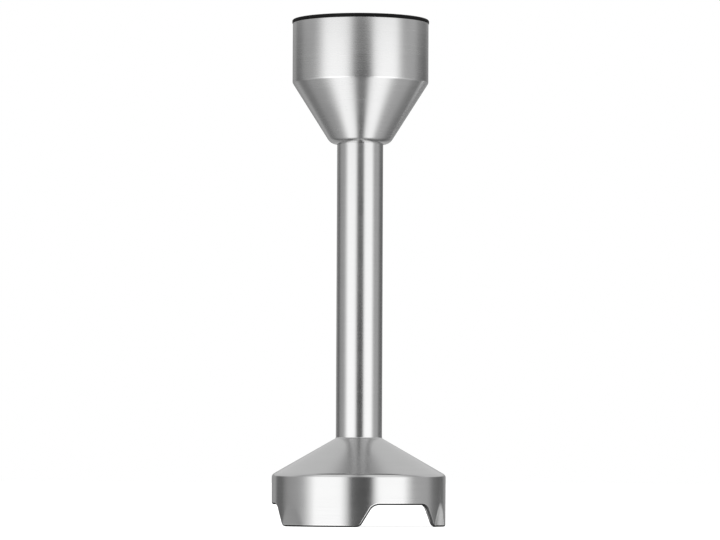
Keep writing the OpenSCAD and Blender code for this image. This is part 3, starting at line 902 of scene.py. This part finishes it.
def make_floor():
    """A white glowing table, clear from below; polished steel sees the lights past it."""
    bm = bmesh.new()
    bmesh.ops.create_circle(bm, cap_ends=True, segments=96, radius=12)
    mesh = bpy.data.meshes.new("floor")
    bm.to_mesh(mesh)
    bm.free()
    floor = bpy.data.objects.new("floor", mesh)
    bpy.context.scene.collection.objects.link(floor)
    n = Nodes("floor_white")
    n.set(Base_Color=(0.6, 0.6, 0.6, 1), Roughness=0.9, Emission_Color=(1, 1, 1, 1), Emission_Strength=0.8)
    from_below = n.add("ShaderNodeMixShader")
    n.link(n.add("ShaderNodeNewGeometry").outputs["Backfacing"], from_below.inputs["Fac"])
    n.link(n.shader.outputs[0], from_below.inputs[1])
    n.link(n.add("ShaderNodeBsdfTransparent").outputs[0], from_below.inputs[2])
    n.link(from_below.outputs[0], n.tree.nodes["Material Output"].inputs["Surface"])
    mesh.materials.append(n.material)
    floor.visible_glossy = False


# What the steel sees round it, by the azimuth in degrees that a surface faces (0 is the camera, 90 its right) and
# the light that it then sends to the camera: two tall soft lights with the dark camera stand between them, grey
# flats beyond them, and a light strip far round on the left.
AROUND = [(-90, 0.45), (-82, 0.3), (-77, 0.38), (-72, 0.38), (-69, 0.16), (-61, 0.16), (-55, 0.34), (-44, 0.42),
          (-39, 0.55), (-34, 1.0), (-30, 1.4), (-12, 1.4), (-8, 0.9), (-5, 0.13), (8, 0.07), (10.5, 0.9),
          (13, 1.4), (31, 1.4), (35, 0.85), (39, 0.5), (52, 0.45), (58, 0.22), (66, 0.15), (73, 0.15), (77, 0.3),
          (90, 0.45)]
BRIGHTEST = 1.6
OVERHEAD = [(0.0, 0.65), (0.858, 0.65), (0.885, 0.24), (1.0, 0.24)]  # by the height of the direction
OVERHEAD_AROUND = [(-90, 1.0), (-52, 1.0), (-42, 0.6), (-30, 1.4), (-10, 1.3), (0, 0.5), (10, 1.3), (30, 1.4),
                   (42, 0.6), (52, 1.0), (90, 1.0)]  # soft boxes above the front, by the azimuth faced
OVERHEAD_FROM = 0.1
OVERHEAD_TO = 0.25
LOW_BAND = [(-1.0, 0.2), (-0.94, 0.3), (-0.91, 1.0), (-0.6, 1.0), (-0.5, 1.3), (-0.25, 1.3), (-0.12, 1.0), (0.1, 1.0)]
LOW_CARD = [(-90, 0.0), (67.5, 0.0), (68.5, 0.75), (71, 0.75), (72, 0.0), (90, 0.0)]  # a card low down on the right
LOW_CARD_HEIGHT = [(-1.0, 0.0), (-0.35, 0.0), (-0.3, 1.0), (-0.04, 1.0), (-0.028, 0.0), (0.1, 0.0)]


def make_world():
    """The studio round the object. The camera itself sees plain white."""
    world = bpy.data.worlds.new("studio")
    bpy.context.scene.world = world
    world.use_nodes = True
    tree = world.node_tree
    tree.nodes.clear()

    def add(kind, **settings):
        node = tree.nodes.new(kind)
        for key, value in settings.items():
            setattr(node, key, value)
        return node

    def math(operation, a, b=0.0):
        node = add("ShaderNodeMath", operation=operation)
        for socket, value in zip(node.inputs, (a, b)):
            if isinstance(value, (int, float)):
                socket.default_value = value
            else:
                tree.links.new(value, socket)
        return node.outputs[0]

    def levels(value, low, high, stops):
        """Light level at a value between low and high, from (value, level) stops."""
        place = math("DIVIDE", math("SUBTRACT", value, low), high - low)
        node = add("ShaderNodeValToRGB")
        tree.links.new(place, node.inputs[0])
        elements = node.color_ramp.elements
        while len(elements) < len(stops):
            elements.new(0.5)
        for element, (stop, level) in zip(elements, stops):
            element.position = (stop - low) / (high - low)
            element.color = (level / BRIGHTEST,) * 3 + (1,)
        return math("MULTIPLY", node.outputs[0], BRIGHTEST)

    split = add("ShaderNodeSeparateXYZ")
    tree.links.new(add("ShaderNodeTexCoord").outputs["Generated"], split.inputs[0])
    x, y, z = split.outputs
    facing = math("MULTIPLY", math("ARCTAN2", x, math("MULTIPLY", y, -1.0)), 90 / pi)
    around = math("MULTIPLY", levels(facing, -90, 90, AROUND), levels(z, -1, 0.1, LOW_BAND))
    card = math("MULTIPLY", levels(facing, -90, 90, LOW_CARD), levels(z, -1, 0.1, LOW_CARD_HEIGHT))
    around = math("ADD", around, card)
    above = add("ShaderNodeMapRange", interpolation_type="SMOOTHSTEP")
    tree.links.new(z, above.inputs["Value"])
    above.inputs["From Min"].default_value = OVERHEAD_FROM
    above.inputs["From Max"].default_value = OVERHEAD_TO
    overhead = math("MULTIPLY", levels(z, 0, 1, OVERHEAD), levels(facing, -90, 90, OVERHEAD_AROUND))
    share = above.outputs[0]
    level = math("ADD", math("MULTIPLY", around, math("SUBTRACT", 1.0, share)), math("MULTIPLY", overhead, share))
    lit = add("ShaderNodeBackground")
    lit.inputs["Color"].default_value = (1, 1, 1, 1)
    tree.links.new(level, lit.inputs["Strength"])
    backdrop = add("ShaderNodeBackground")
    backdrop.inputs["Color"].default_value = (1, 1, 1, 1)
    backdrop.inputs["Strength"].default_value = 1.0
    choose = add("ShaderNodeMixShader")
    tree.links.new(add("ShaderNodeLightPath").outputs["Is Camera Ray"], choose.inputs["Fac"])
    tree.links.new(lit.outputs[0], choose.inputs[1])
    tree.links.new(backdrop.outputs[0], choose.inputs[2])
    output = add("ShaderNodeOutputWorld")
    tree.links.new(choose.outputs[0], output.inputs["Surface"])


def make_top_light():
    """A broad soft light overhead that fills the matt pieces and gives the floor its faint shadow."""
    data = bpy.data.lights.new("top_light", "AREA")
    data.shape = "DISK"
    data.size = 3.0
    data.energy = 42
    light = bpy.data.objects.new("top_light", data)
    bpy.context.scene.collection.objects.link(light)
    light.location = (0, 0, 2.5)
    light.visible_glossy = False
    light.visible_camera = False


make_camera()
make_floor()
make_world()
make_top_light()
bpy.context.scene.view_settings.view_transform = "Standard"

make_tube()
make_cup()
make_gasket()
make_bell()
make_insert()
make_screws()
make_carrier()
make_coupler()
make_housing()
make_blade_stack()
dress_kept_nodes()
